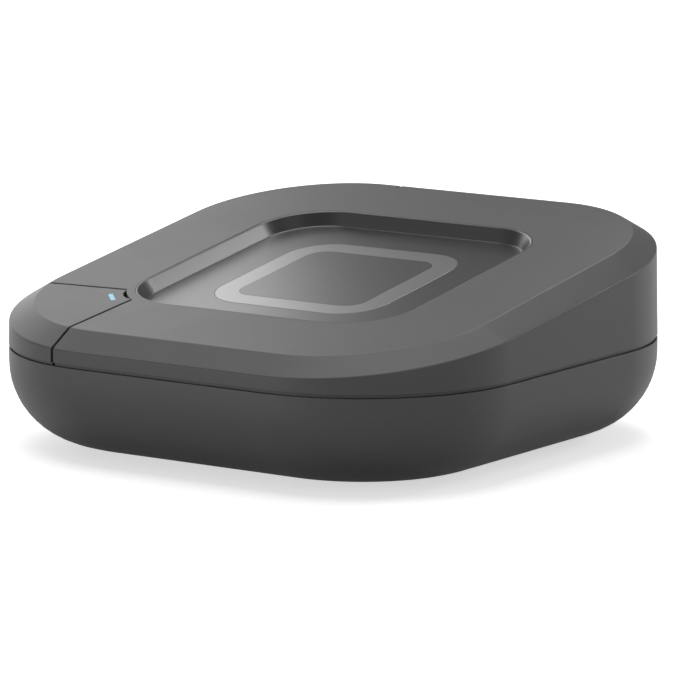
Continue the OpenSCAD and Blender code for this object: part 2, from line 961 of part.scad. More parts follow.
module hdmi_shell() {
    z = pcb_top + hdmi_rise;
    color("#c4c7ca") {
        difference() {
            inwards(hdmi_x, socket_y, z)
                linear_extrude(hdmi_l)
                    hdmi_outline(hdmi_w, hdmi_h);
            inwards(hdmi_x, socket_y + 1, z + shell_t)
                linear_extrude(hdmi_l - 1)
                    hdmi_outline(hdmi_w - 2 * shell_t, hdmi_h - 2 * shell_t);
        }
        for (s = [-1, 1])
            box(hdmi_x + s * 6 - 0.5, hdmi_x + s * 6 + 0.5, socket_y - 9, socket_y - 7, pcb_top, z + 2);
    }
}

module hdmi_tongue() {
    z = pcb_top + hdmi_rise + hdmi_h / 2;
    color("#1b1b1d")
        box(hdmi_x - 5.8, hdmi_x + 5.8, socket_y - hdmi_l + 2, socket_y - 1.8, z - 0.95 + 0.3, z + 0.95 + 0.3);
}

module ethernet_shield() {
    color("#c4c7ca")
        difference() {
            box(ethernet_x - ethernet_w / 2, ethernet_x + ethernet_w / 2, socket_y - ethernet_l, socket_y,
                pcb_top, pcb_top + ethernet_h);
            box(ethernet_x - ethernet_w / 2 + shell_t, ethernet_x + ethernet_w / 2 - shell_t,
                socket_y - ethernet_l + shell_t, socket_y + 1, pcb_top - 1, pcb_top + ethernet_h - shell_t);
        }
}

module ethernet_insert() {
    low = pcb_top + 1.9;
    color("#1b1b1d")
        difference() {
            box(ethernet_x - ethernet_w / 2 + shell_t, ethernet_x + ethernet_w / 2 - shell_t,
                socket_y - ethernet_l + shell_t, socket_y - 0.2, pcb_top, pcb_top + ethernet_h - shell_t);
            box(ethernet_x - ethernet_hole_w / 2, ethernet_x + ethernet_hole_w / 2,
                socket_y - ethernet_depth, socket_y + 1, low, low + ethernet_hole_h);
            box(ethernet_x - 3.2, ethernet_x + 3.2, socket_y - ethernet_depth, socket_y + 1,
                low + ethernet_hole_h - 1, low + ethernet_hole_h + 1.6);
        }
}

module ethernet_contacts() {
    low = pcb_top + 1.9;
    color("#c9a24a")
        for (i = [-3.5 : 1 : 3.5])
            translate([ethernet_x + i * 1.02, socket_y - ethernet_depth + 1, low + 1.6])
                rotate([atan(1.2 / 8), 0, 0])
                    box(-0.2, 0.2, -0.9, 8, -0.2, 0.2);
}

module usb_shell() {
    z = pcb_top + usb_rise;
    x = -half + 1.4;
    color("#c4c7ca") {
        difference() {
            box(x, x + usb_l, usb_y - usb_w / 2, usb_y + usb_w / 2, z, z + usb_h);
            box(x - 1, x + usb_l - shell_t, usb_y - usb_w / 2 + shell_t, usb_y + usb_w / 2 - shell_t,
                z + shell_t, z + usb_h - shell_t);
        }
        for (s = [-1, 1])
            box(x + 8, x + 10, usb_y + s * 5 - 0.5, usb_y + s * 5 + 0.5, pcb_top, z + 0.2);
    }
}

module usb_tongue() {
    z = pcb_top + usb_rise;
    x = -half + 1.4;
    color("#1b1b1d")
        box(x + 1.6, x + usb_l - shell_t, usb_y - 5.6, usb_y + 5.6, z + usb_h - shell_t - 2.4,
            z + usb_h - shell_t - 0.6);
}

module power_jack_body() {
    color("#1b1b1d")
        difference() {
            box(power_x - power_w / 2, power_x + power_w / 2, socket_y - power_l, socket_y,
                pcb_top, pcb_top + power_h);
            inwards(power_x, socket_y + 1, pcb_top + power_rise)
                cylinder(h = power_depth + 1, d = power_bore_d);
        }
}

module power_jack_pin() {
    color("#c4c7ca")
        inwards(power_x, socket_y - 1, pcb_top + power_rise)
            cylinder(h = power_depth - 1, d = power_pin_d);
}

module optical_jack_body() {
    color("#1b1b1d")
        difference() {
            box(optical_x - optical_w / 2, optical_x + optical_w / 2, socket_y - optical_l, socket_y,
                pcb_top, pcb_top + optical_h);
            box(optical_x - optical_hole / 2, optical_x + optical_hole / 2, socket_y - optical_depth,
                socket_y + 1, pcb_top + 1, pcb_top + 1 + optical_hole);
            translate([optical_x, shutter_y, shutter_z])
                rotate([0, 90, 0])
                    cylinder(h = optical_hole + 1, d = shutter_pin_d + 2 * snug, center = true);
        }
}

module optical_shutter() {
    w = optical_hole - 2 * fit;
    color("#2a2a2c") {
        box(optical_x - w / 2, optical_x + w / 2, shutter_y - shutter_t / 2, shutter_y + shutter_t / 2,
            pcb_top + 1 + fit, shutter_z);
        translate([optical_x, shutter_y, shutter_z])
            rotate([0, 90, 0])
                cylinder(h = optical_hole + 0.8, d = shutter_pin_d, center = true);
    }
}

module reset_switch_body() {
    color("#1b1b1d")
        difference() {
            box(reset_x - 3, reset_x + 3, socket_y - 8, socket_y - 3.4, pcb_top, pcb_top + 6);
            inwards(reset_x, socket_y, pcb_top + reset_d)
                cylinder(h = 6.6, d = reset_d + 2 * snug);
        }
}

module reset_switch_plunger() {
    color("#d8d8d8")
        inwards(reset_x, socket_y, pcb_top + reset_d)
            cylinder(h = 6.6 - reset_travel - snug, d = reset_d);
}

bottom_shell();
top_shell();
rear_panel();
dish_tray();
ring_light_guide();
centre_pad();
corner_key();
key_light_pipe();
foot_front_left();
foot_front_right();
foot_rear_left();
foot_rear_right();
case_screws();
board_screws();
main_board();
soc_chip();
thermal_pad();
heatsink();
heatsink_screws();
memory_chips();
storage_chip();
memory_shield();
wifi_board();
wifi_can();
antenna_left();
antenna_right();
antenna_lead_left();
antenna_lead_right();
ring_board();
ring_leds();
ring_board_screws();
ribbon_cable();
ribbon_sockets();
status_led();
key_switch_body();
key_switch_plunger();
power_inductors();
bulk_capacitors();
crystal();
hdmi_shell();
hdmi_tongue();
ethernet_shield();
ethernet_insert();
ethernet_contacts();
usb_shell();
usb_tongue();
power_jack_body();
power_jack_pin();
optical_jack_body();
optical_shutter();
reset_switch_body();
reset_switch_plunger();
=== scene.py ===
import math

import bmesh
import bpy
from bpy.props import FloatProperty, FloatVectorProperty, PointerProperty
from mathutils import Matrix, Vector


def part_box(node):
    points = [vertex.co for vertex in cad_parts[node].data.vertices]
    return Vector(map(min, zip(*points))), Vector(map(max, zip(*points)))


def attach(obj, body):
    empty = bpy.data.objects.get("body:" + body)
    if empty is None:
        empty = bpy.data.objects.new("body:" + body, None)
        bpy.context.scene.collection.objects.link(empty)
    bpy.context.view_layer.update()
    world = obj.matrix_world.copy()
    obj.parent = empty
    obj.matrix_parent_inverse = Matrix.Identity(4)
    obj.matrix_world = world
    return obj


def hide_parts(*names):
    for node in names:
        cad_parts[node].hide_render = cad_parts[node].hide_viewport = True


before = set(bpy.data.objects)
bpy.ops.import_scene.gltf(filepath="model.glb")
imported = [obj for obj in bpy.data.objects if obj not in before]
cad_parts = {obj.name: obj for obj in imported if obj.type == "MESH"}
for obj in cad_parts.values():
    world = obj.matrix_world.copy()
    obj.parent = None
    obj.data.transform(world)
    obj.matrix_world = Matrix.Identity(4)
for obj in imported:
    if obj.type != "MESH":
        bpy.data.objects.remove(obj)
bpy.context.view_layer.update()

bl_info = {
    "name": "Streaming player",
    "version": (1, 0, 0),
    "blender": (4, 5, 0),
    "location": "View3D > Sidebar > Player",
    "description": "Builds a wedge-topped streaming player around its packed solids",
    "category": "Add Mesh",
}

MM = 0.001
HOUSING = "player"
KEY = "corner_key"

SHELL_LOW, SHELL_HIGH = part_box("bottom_shell")
SIDE = round((SHELL_HIGH.x - SHELL_LOW.x) / MM, 3)
FLOOR_Z = round(SHELL_LOW.z / MM, 3)

# Fine details of the shells, in millimetres. The sizes that a user would change are properties.
SEAM_ROUND = 0.13       # rounding on both sides of the open line between the shells
SEAM_MIDDLE = 0.035     # place of that rounding's middle point, inwards and down
RIB_OUT = 2.3           # the lower shell's inner rib, measured from the outside of the wall
RIB_IN = 3.5
RIB_TOP = 1.0           # height of the rib above the rim
RIB_CUT = 0.1           # cut edge along the rib's top
RIB_FOOT = 2.0          # foot of the rib below the rim
RIB_SLANT = 0.5         # slanted turn from the rib's foot into the wall
CREST_TIGHTER = 0.4     # how much tighter the top's corners are than the wall's, past the slanted edge
DRAFT_HEIGHT = 22.0     # height over which the lid's draft is reached
BRINK_ROUND = 0.12      # rounding along the brink of the dish opening
INNER_REACH = 0.93      # share of the top's width that its flat inner face takes
CUT_SPARE = 1           # how far a cut reaches past what it cuts
TALL = 90.0             # taller than the whole player

SHARP = math.radians(35.0)      # edges that turn by more than this stay crisp or are rounded

# Numbers of steps in curves
CORNER_STEPS = 24
BOWL_STEPS = 14
SHOULDER_STEPS = 6
EDGE_STEPS = 3
GUARD_STEPS = 20
HOLLOW_STEPS = 14
CREASE_STEPS = 5
DOME_STEPS = 8
FOOT_STEPS = 64
RECESS_STEPS = 48


# ---- sizes and colours ----

def length(name, text, value):
    """A size that is given here in millimetres."""
    return FloatProperty(name=name, description=text, default=value * MM, unit="LENGTH",
                         subtype="DISTANCE")


def angle(name, text, degrees):
    return FloatProperty(name=name, description=text, default=math.radians(degrees), unit="ROTATION",
                         subtype="ANGLE")


def colour(name, text, value):
    return FloatVectorProperty(name=name, description=text, default=value, size=3, subtype="COLOR",
                               min=0.0, max=1.0)


class HousingSizes(bpy.types.PropertyGroup):
    """Sizes of the two shells"""
    side: length("Side", "Length of each side of the housing", SIDE)
    corner: length("Corner radius", "Plan radius of the four corners", 36.5)
    bowl: length("Bowl radius", "Radius of the rounded lower edge", 17.3)
    wall: length("Wall", "Thickness of both shells", 2.0)
    rim: length("Rim height", "Height of the lower shell's rim", 21.4)
    shadow_line: length("Shadow line", "Open line between the two shells", 0.7)
    lid_rise: length("Lid rise", "Height of the sloping top above the shadow line, at the middle", 15.5)
    slope: angle("Slope", "Rise of the top towards the rear", 9.3)
    edge_run: length("Edge width", "Width of the slanted edge round the top", 5.7)
    edge_drop: length("Edge depth", "Depth of the slanted edge round the top, at the middle", 3.45)
    edge_growth: FloatProperty(name="Edge growth", default=0.014,
                               description="Growth of that depth per unit length to the rear")
    shoulder: length("Shoulder", "Reach of the soft turn from the slanted edge into the wall", 0.35)
    crisp: length("Crisp edge", "Reach of the fine rounding along the top's outline", 0.2)
    lip_at: length("Lip place", "Depth of the shadow line, from the wall to the lid's inner lip", 0.55)
    lip_gap: length("Lip clearance", "Clearance round the lid's inner lip", 0.06)
    draft: length("Draft", "How far each side of the lid leans inwards over 22 mm of height", 0.35)


class DishSizes(bpy.types.PropertyGroup):
    """Sizes of the dish, the ring and the pad"""
    half: length("Dish half side", "Half side of the dish at the top", 34.6)
    corner: length("Dish corner radius", "Plan radius of the dish corners", 14.5)
    depth: length("Dish depth", "Depth of the dish floor", 3.0)
    fit: length("Dish fit", "Gap between the dish and the lid", 0.03)
    run: length("Dish wall width", "Width of the sloping dish wall seen from above", 2.2)
    crease: length("Crease", "Reach of the soft turn from the dish wall into its floor", 0.35)
    ring_half: length("Ring half side", "Outer half side of the light ring", 21.4)
    ring_corner: length("Ring corner radius", "Outer plan radius of the light ring", 9.7)
    ring_width: length("Ring width", "Width of the light ring", 5.3)
    ring_proud: length("Ring height", "Height of the ring and pad above the dish floor", 0.02)


class KeySizes(bpy.types.PropertyGroup):
    """Sizes of the corner key"""
    tip_at: length("Key tip", "Distance from the middle, along X and Y, where the seams would meet", 28.2)
    lean: angle("Seam lean", "Turn of each seam towards the key's diagonal", 3.6)
    gap: length("Key seam", "Width of the seams round the key", 0.75)
    hollow: length("Key hollow", "Radius of the hollow at the key's tip", 5.6)
    guard_at: length("Guard centre", "Distance of the rounded corner's centre, along X and Y", 18.4)
    guard: length("Guard radius", "Radius of the rounded lid corner at the key's tip", 18.6)
    slot_length: length("Light slot length", "Length of the light slot", 4.6)
    slot_width: length("Light slot width", "Width of the light slot", 1.0)
    slot_at: length("Light slot place", "Distance of the light slot from the middle, along X and Y", 33.9)


class Finishes(bpy.types.PropertyGroup):
    """Colours of the visible finishes"""
    body: colour("Body", "Moulded housing plastic", (0.09, 0.0903, 0.091))
    panel: colour("Rear panel", "Socket panel plastic", (0.022, 0.023, 0.025))
    dish: colour("Dish", "Satin dish plastic", (0.018, 0.0182, 0.0185))
    ring: colour("Ring", "Light ring, unlit", (0.135, 0.136, 0.137))
    pad: colour("Pad", "Centre pad", (0.024, 0.0242, 0.0246))
    light: colour("Key light", "Status light in the key", (0.1, 0.36, 0.52))
    rubber: colour("Feet", "Rubber of the feet", (0.013, 0.013, 0.014))


class StudioSettings(bpy.types.PropertyGroup):
    """Place and lens of the camera"""
    azimuth: angle("Azimuth", "Direction of the camera, from the front towards the right", 34.86)
    elevation: angle("Elevation", "Height angle of the camera", 10.05)
    distance: length("Distance", "Distance of the camera from its target", 1109.0)
    aside: length("Aside", "Camera and target moved to the right", 3.21)
    below: length("Below", "Camera and target moved down", 2.55)
    lens: length("Lens", "Focal length of the camera", 267.04)


def sizes(group):
    """The lengths of a group in millimetres, its other values as they are."""
    values = {}
    for name, prop in group.bl_rna.properties.items():
        if name in ("rna_type", "name"):
            continue
        value = getattr(group, name)
        values[name] = value / MM if prop.type == "FLOAT" and prop.unit == "LENGTH" else value
    return values


# ---- shader maths ----

class Wire:
    """One output socket of a material, with arithmetic."""

    def __init__(self, paint, socket):
        self.paint = paint
        self.socket = socket

    def _maths(self, operation, first, second):
        return self.paint.node("ShaderNodeMath", {"operation": operation}, {0: first, 1: second})

    def __add__(self, other):
        return self._maths("ADD", self, other)

    __radd__ = __add__

    def __mul__(self, other):
        return self._maths("MULTIPLY", self, other)

    __rmul__ = __mul__

    def __sub__(self, other):
        return self._maths("SUBTRACT", self, other)

    def __rsub__(self, other):
        return self._maths("SUBTRACT", other, self)

    def __gt__(self, other):
        return self._maths("GREATER_THAN", self, other)

    def __lt__(self, other):
        return self._maths("LESS_THAN", self, other)


class Paint:
    """One material being made."""

    def __init__(self, name):
        self.material = bpy.data.materials.new(name)
        self.material.use_nodes = True
        self.tree = self.material.node_tree
        self.tree.nodes.clear()

    def node(self, kind, settings, values, out=0):
        made = self.tree.nodes.new(kind)
        for name, setting in settings.items():
            if name == "stops":
                ramp = made.color_ramp
                while len(ramp.elements) < len(setting):
                    ramp.elements.new(0.5)
                for element, (place, tone) in zip(ramp.elements, setting):
                    element.position = place
                    element.color = tone
            else:
                setattr(made, name, setting)
        for name, value in values.items():
            if isinstance(value, Wire):
                self.tree.links.new(value.socket, made.inputs[name])
            else:
                made.inputs[name].default_value = value
        return Wire(self, made.outputs[out])

    def point(self):
        """The place on the object, in metres."""
        return self.node("ShaderNodeTexCoord", {}, {}, out="Object")

    def stretched(self, factors):
        return self.node("ShaderNodeVectorMath", {"operation": "MULTIPLY"}, {0: self.point(), 1: factors})

    def noise(self, size, detail=2.0, rough=0.5, factors=(1.0, 1.0, 1.0)):
        """Noise between 0 and 1 whose grains are about `size` millimetres."""
        return self.node("ShaderNodeTexNoise", {},
                         {"Vector": self.stretched(factors), "Scale": 1.0 / (size * MM), "Detail": detail,
                          "Roughness": rough})

    def blend(self, factor, first, second):
        return self.node("ShaderNodeMix", {"data_type": "RGBA"}, {0: factor, 6: first, 7: second}, out=2)

    def bump(self, height, depth, edge=0.0):
        """A normal with bumps `depth` millimetres deep and edges rounded by `edge` millimetres."""
        values = {"Height": height, "Strength": 1.0, "Distance": depth * MM}
        if edge:
            values["Normal"] = self.node("ShaderNodeBevel", {"samples": 4}, {"Radius": edge * MM})
        return self.node("ShaderNodeBump", {}, values)

    def finish(self, values):
        self.output(self.node("ShaderNodeBsdfPrincipled", {}, values))
        return self.material

    def output(self, shader):
        made = self.tree.nodes.new("ShaderNodeOutputMaterial")
        self.tree.links.new(shader.socket, made.inputs["Surface"])


def opaque(rgb):
    return (rgb[0], rgb[1], rgb[2], 1.0)


def shade(rgb, k):
    return (rgb[0] * k, rgb[1] * k, rgb[2] * k, 1.0)


# ---- finishes ----

def moulded(name, rgb, roughness, grain=0.16, depth=0.006):
    """Moulded plastic with a fine grain, a little unevenness and a light touch of wear."""
    paint = Paint(name)
    fine = paint.noise(grain, 3.0, 0.6)
    broad = paint.noise(14.0, 3.0, 0.55)
    tone = paint.blend(broad, shade(rgb, 0.94), shade(rgb, 1.06))
    speck = paint.blend(fine * 0.25, tone, shade(rgb, 1.35))
    smear = paint.noise(5.0, 4.0, 0.7, (1.0, 0.35, 1.0))
    return paint.finish({
        "Base Color": speck,
        "Roughness": broad * 0.06 + smear * 0.05 + (fine * 0.05 + (roughness - 0.08)),
        "Specular IOR Level": 0.5,
        "Normal": paint.bump(fine, depth, 0.15),
    })


def satin(name, rgb, roughness, coat=0.0):
    """Satin plastic with faint flow marks and fine scuffs, under a clear coat of weight `coat`."""
    paint = Paint(name)
    haze = 0.02
    flow = paint.noise(9.0, 2.0, 0.5, (1.0, 0.5, 1.0))
    scuff = paint.noise(1.6, 2.0, 0.5)
    ripple = paint.noise(3.0, 1.0, 0.4)
    return paint.finish({
        "Base Color": paint.blend(flow, shade(rgb, 0.94), shade(rgb, 1.06)),
        "Roughness": flow * haze + scuff * haze + (roughness - haze),
        "Specular IOR Level": 1.0,
        "Coat Weight": coat,
        "Coat Roughness": 0.29,
        "Normal": paint.bump(ripple, 0.001, 0.1),
    })


def lit(name, rgb, strength):
    """A milky light guide that glows a little unevenly."""
    paint = Paint(name)
    grain = paint.noise(0.5, 2.0, 0.5)
    glow = paint.blend(grain, shade(rgb, 0.75), shade(rgb, 1.2))
    return paint.finish({
        "Base Color": glow,
        "Roughness": grain * 0.1 + 0.2,
        "Emission Color": glow,
        "Emission Strength": strength,
        "Normal": paint.bump(grain, 0.01),
    })


def rubbery(name, rgb):
    """Dull rubber with a fine grain and patches of dust."""
    paint = Paint(name)
    fine = paint.noise(0.25, 4.0, 0.7)
    dust = paint.noise(3.0, 4.0, 0.7) > 0.62
    return paint.finish({
        "Base Color": paint.blend(dust * 0.3, opaque(rgb), shade(rgb, 2.4)),
        "Roughness": fine * 0.1 + 0.72,
        "Normal": paint.bump(fine, 0.02, 0.15),
    })


def metal(name, rgb, roughness, factors, grain=0.12):
    """Metal with faint stains and with fine drawn lines along the axis whose factor is small."""
    paint = Paint(name)
    lines = paint.noise(grain, 3.0, 0.6, factors)
    stain = paint.noise(4.0, 3.0, 0.6)
    return paint.finish({
        "Base Color": paint.blend(stain, shade(rgb, 0.86), opaque(rgb)),
        "Metallic": 1.0,
        "Roughness": lines * 0.16 + stain * 0.06 + (roughness - 0.1),
        "Normal": paint.bump(lines, 0.004, 0.08),
    })


def laminate(name, rgb, copper):
    """Solder mask over faint traces, with a scatter of plated points."""
    paint = Paint(name)
    cells = paint.node("ShaderNodeTexVoronoi", {"distance": "CHEBYCHEV", "feature": "F1"},
                       {"Vector": paint.point(), "Scale": 1.0 / (1.7 * MM), "Randomness": 0.55})
    traces = paint.node("ShaderNodeTexBrick", {"offset": 0.5},
                        {"Vector": paint.point(), "Scale": 1.0 / (2.2 * MM), "Mortar Size": 0.09},
                        out="Fac")
    points = cells < 0.13
    mask = paint.blend(traces, opaque(rgb), shade(rgb, 1.9))
    return paint.finish({
        "Base Color": paint.blend(points, mask, opaque(copper)),
        "Metallic": points,
        "Roughness": points * 0.1 + (paint.noise(1.2, 2.0) * 0.12 + 0.28),
        "Normal": paint.bump(traces - points * 0.5, 0.02),
    })


RECIPES = {
    "body": lambda name, f: moulded(name, f.body, 0.44),
    "panel": lambda name, f: moulded(name, f.panel, 0.55, 0.2, 0.012),
    "dish": lambda name, f: satin(name, f.dish, 0.3, coat=0.35),
    "ring": lambda name, f: satin(name, f.ring, 0.3, coat=1.0),
    "pad": lambda name, f: satin(name, f.pad, 0.3, coat=0.4),
    "light": lambda name, f: lit(name, f.light, 0.42),
    "rubber": lambda name, f: rubbery(name, f.rubber),
    "screw": lambda name, f: metal(name, (0.32, 0.32, 0.33), 0.36, (1.0, 1.0, 0.15)),
    "shield": lambda name, f: metal(name, (0.56, 0.56, 0.55), 0.34, (0.08, 1.0, 1.0)),
    "fins": lambda name, f: metal(name, (0.6, 0.61, 0.62), 0.42, (1.0, 0.05, 1.0), 0.2),
    "foil": lambda name, f: metal(name, (0.75, 0.36, 0.2), 0.34, (1.0, 0.2, 1.0)),
    "gold": lambda name, f: metal(name, (0.85, 0.6, 0.24), 0.28, (1.0, 0.2, 1.0)),
    "pin": lambda name, f: metal(name, (0.62, 0.61, 0.58), 0.22, (1.0, 0.15, 1.0)),
    "can": lambda name, f: metal(name, (0.66, 0.67, 0.69), 0.38, (1.0, 1.0, 0.1)),
    "board": lambda name, f: laminate(name, (0.012, 0.055, 0.028), (0.75, 0.52, 0.22)),
    "chip": lambda name, f: moulded(name, (0.016, 0.016, 0.017), 0.6, 0.1, 0.01),
    "gel": lambda name, f: rubbery(name, (0.24, 0.33, 0.42)),
    "sleeve": lambda name, f: rubbery(name, (0.035, 0.035, 0.037)),
    "diode": lambda name, f: satin(name, (0.72, 0.7, 0.62), 0.35),
    "film": lambda name, f: satin(name, (0.68, 0.67, 0.6), 0.4),
    "socket": lambda name, f: moulded(name, (0.013, 0.013, 0.014), 0.42, 0.25, 0.01),
    "cap": lambda name, f: moulded(name, (0.42, 0.42, 0.41), 0.45),
}


def finish_of(name):
    """The named finish, made when it is first asked for."""
    full = "player " + name
    return bpy.data.materials.get(full) or RECIPES[name](full, bpy.context.scene.player_finishes)


# ---- solids ----

def rounded(half_x, half_y, r):
    """Outline of a rounded rectangle, anticlockwise, with an equal number of points for every size."""
    points = []
    for sx, sy, start in ((1, 1, 0), (-1, 1, 90), (-1, -1, 180), (1, -1, 270)):
        for i in range(CORNER_STEPS + 1):
            a = math.radians(start + 90 * i / CORNER_STEPS)
            points.append((sx * (half_x - r) + r * math.cos(a), sy * (half_y - r) + r * math.sin(a)))
    return points


def flat_ring(half, r, z):
    return [(x, y, z) for x, y in rounded(half, half, r)]


def eased(before, corner, after, reach_before, reach_after, steps):
    """Points of a soft turn at a corner, which starts and ends at the two reaches from it."""
    before, corner, after = Vector(before), Vector(corner), Vector(after)
    start = corner + (before - corner) * min(1.0, reach_before / max((before - corner).length, 1e-6))
    end = corner + (after - corner) * min(1.0, reach_after / max((after - corner).length, 1e-6))
    points = []
    for i in range(steps + 1):
        t = i / steps
        points.append(start * (1 - t) ** 2 + corner * (2 * t * (1 - t)) + end * t ** 2)
    return points


def make(name, points, faces):
    """A piece from points in millimetres, with its faces turned outwards."""
    mesh = bpy.data.meshes.new(name)
    mesh.from_pydata([Vector(p) * MM for p in points], [], faces)
    piece = bpy.data.objects.new(name, mesh)
    bpy.context.scene.collection.objects.link(piece)
    edit = bmesh.new()
    edit.from_mesh(mesh)
    bmesh.ops.remove_doubles(edit, verts=edit.verts, dist=1e-7)
    bmesh.ops.recalc_face_normals(edit, faces=edit.faces)
    edit.to_mesh(mesh)
    edit.free()
    return piece


def loft(name, rings, looped):
    """Skin through rings of equal length: looped back to the first one, or closed by two end faces."""
    n = len(rings[0])
    points = [p for ring in rings for p in ring]
    faces = []
    for k in range(len(rings) if looped else len(rings) - 1):
        a, b = k * n, (k + 1) % len(rings) * n
        faces += [(a + i, a + (i + 1) % n, b + (i + 1) % n, b + i) for i in range(n)]
    if not looped:
        faces += [tuple(range(n))[::-1], tuple(range((len(rings) - 1) * n, len(rings) * n))]
    return make(name, points, faces)


def prism(name, outline, z0, z1):
    return loft(name, [[(x, y, z0) for x, y in outline], [(x, y, z1) for x, y in outline]], False)


def block(name, low, high):
    return prism(name, [(low[0], low[1]), (high[0], low[1]), (high[0], high[1]), (low[0], high[1])],
                 low[2], high[2])


def disc(x, y, r, steps=32):
    return [(x + r * math.cos(2 * math.pi * i / steps), y + r * math.sin(2 * math.pi * i / steps))
            for i in range(steps)]


def settle(piece):
    """Applies a piece's modifiers."""
    bpy.context.view_layer.update()
    shown = piece.evaluated_get(bpy.context.evaluated_depsgraph_get())
    mesh = bpy.data.meshes.new_from_object(shown)
    piece.modifiers.clear()
    piece.data = mesh
    return piece


def joined(piece, operation, *others):
    """Adds, cuts away or keeps what is inside the other solids, which are used up."""
    for other in others:
        change = piece.modifiers.new("cut", "BOOLEAN")
        change.operation = operation
        change.solver = "EXACT"
        change.object = other
        settle(piece)
        bpy.data.objects.remove(other)
    return piece


def softened(piece, width):
    """Rounds a piece's sharp edges."""
    change = piece.modifiers.new("round", "BEVEL")
    change.width = width * MM
    change.segments = 2
    change.limit_method = "ANGLE"
    change.angle_limit = SHARP
    return settle(piece)


def smoothed(piece):
    """Smooth shading with crisp edges, weighted by face size."""
    piece.data.shade_smooth()
    piece.data.set_sharp_from_angle(angle=SHARP)
    change = piece.modifiers.new("shading", "WEIGHTED_NORMAL")
    change.keep_sharp = True
    change.weight = 80
    return settle(piece)


def placed(piece, material, body, slot, *stands_for):
    """Gives a piece its finish, its body and the solids that it stands for."""
    piece.data.materials.clear()
    piece.data.materials.append(material)
    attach(piece, body)
    if stands_for:
        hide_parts(*stands_for)
    return piece


def copied(name, node):
    """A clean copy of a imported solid's surface, with flat faces merged."""
    edit = bmesh.new()
    edit.from_mesh(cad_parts[node].data)
    bmesh.ops.remove_doubles(edit, verts=edit.verts, dist=2e-6)
    bmesh.ops.dissolve_limit(edit, angle_limit=math.radians(1.0), verts=edit.verts, edges=edit.edges)
    mesh = bpy.data.meshes.new(name)
    edit.to_mesh(mesh)
    edit.free()
    piece = bpy.data.objects.new(name, mesh)
    bpy.context.scene.collection.objects.link(piece)
    return piece


def coated(material, *nodes):
    """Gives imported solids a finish."""
    for name in nodes:
        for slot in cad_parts[name].material_slots:
            slot.material = material


class Slope:
    """The sloping top: turns places across, along and above it into places in the housing."""

    def __init__(self, housing):
        self.middle = housing["rim"] + housing["shadow_line"] + housing["lid_rise"]
        self.sin = math.sin(housing["slope"])
        self.cos = math.cos(housing["slope"])

    def at(self, u, v, w):
        return (u, v * self.cos - w * self.sin, self.middle + v * self.sin + w * self.cos)

    def ring(self, half, r, depth):
        return [self.at(u, v, -depth) for u, v in rounded(half, half, r)]

    def over(self, y, z):
        """Place along the slope and height above it."""
        z -= self.middle
        return y * self.cos + z * self.sin, -y * self.sin + z * self.cos


def beyond(x, y, half_x, half_y, r):
    """How far a point lies outside a rounded rectangle."""
    qx, qy = abs(x) - (half_x - r), abs(y) - (half_y - r)
    return math.hypot(max(qx, 0), max(qy, 0)) + min(max(qx, qy), 0) - r


def lid_sides(h):
    """Profiles of the lid's outside up to the slanted edge, and the outline of the sloping top."""
    slope = Slope(h)
    half = h["side"] / 2
    low = h["rim"] + h["shadow_line"]
    top_x = half - h["edge_run"]
    top_y = top_x / slope.cos
    top_r = h["corner"] - h["edge_run"] - CREST_TIGHTER
    sides = []
    for (wx, wy), (tx, ty) in zip(rounded(half, half, h["corner"]), rounded(top_x, top_y, top_r)):
        # Halves the range in which the wall meets the slanted edge until only one height is left.
        z0, z1 = low - 5, slope.middle + 20
        for _ in range(40):
            z = (z0 + z1) / 2
            v, w = slope.over(wy, z)
            drop = (h["edge_drop"] + h["edge_growth"] * v) * slope.cos
            if beyond(wx, v, top_x, top_y, top_r) + w * h["edge_run"] / drop > 0:
                z1 = z
            else:
                z0 = z
        narrow = 1 - h["draft"] / half * (z - low) / DRAFT_HEIGHT
        foot = (wx, wy, low)
        corner = (wx * narrow, wy * narrow, z)
        crest = slope.at(tx, ty, 0)
        inward = (wx * 0.98, wy * 0.98, low)
        reach = min(h["shoulder"], (z - low) * 0.85)
        shoulder = eased(foot, corner, crest, reach, h["shoulder"], SHOULDER_STEPS)
        sides.append(eased(inward, foot, shoulder[0], SEAM_ROUND, SEAM_ROUND, EDGE_STEPS) + shoulder)
    return sides, rounded(top_x, top_y, top_r)


def lid_block(name, h, spare):
    """The lid's outer form as one solid block, `spare` millimetres lower."""
    slope = Slope(h)
    sides, top = lid_sides(h)
    sides = [side + [Vector(slope.at(tx, ty, 0))] for side, (tx, ty) in zip(sides, top)]
    down = Vector((0, 0, spare))
    rings = [[side[k] - down for side in sides] for k in range(EDGE_STEPS - 1, len(sides[0]))]
    return loft(name, rings, False)


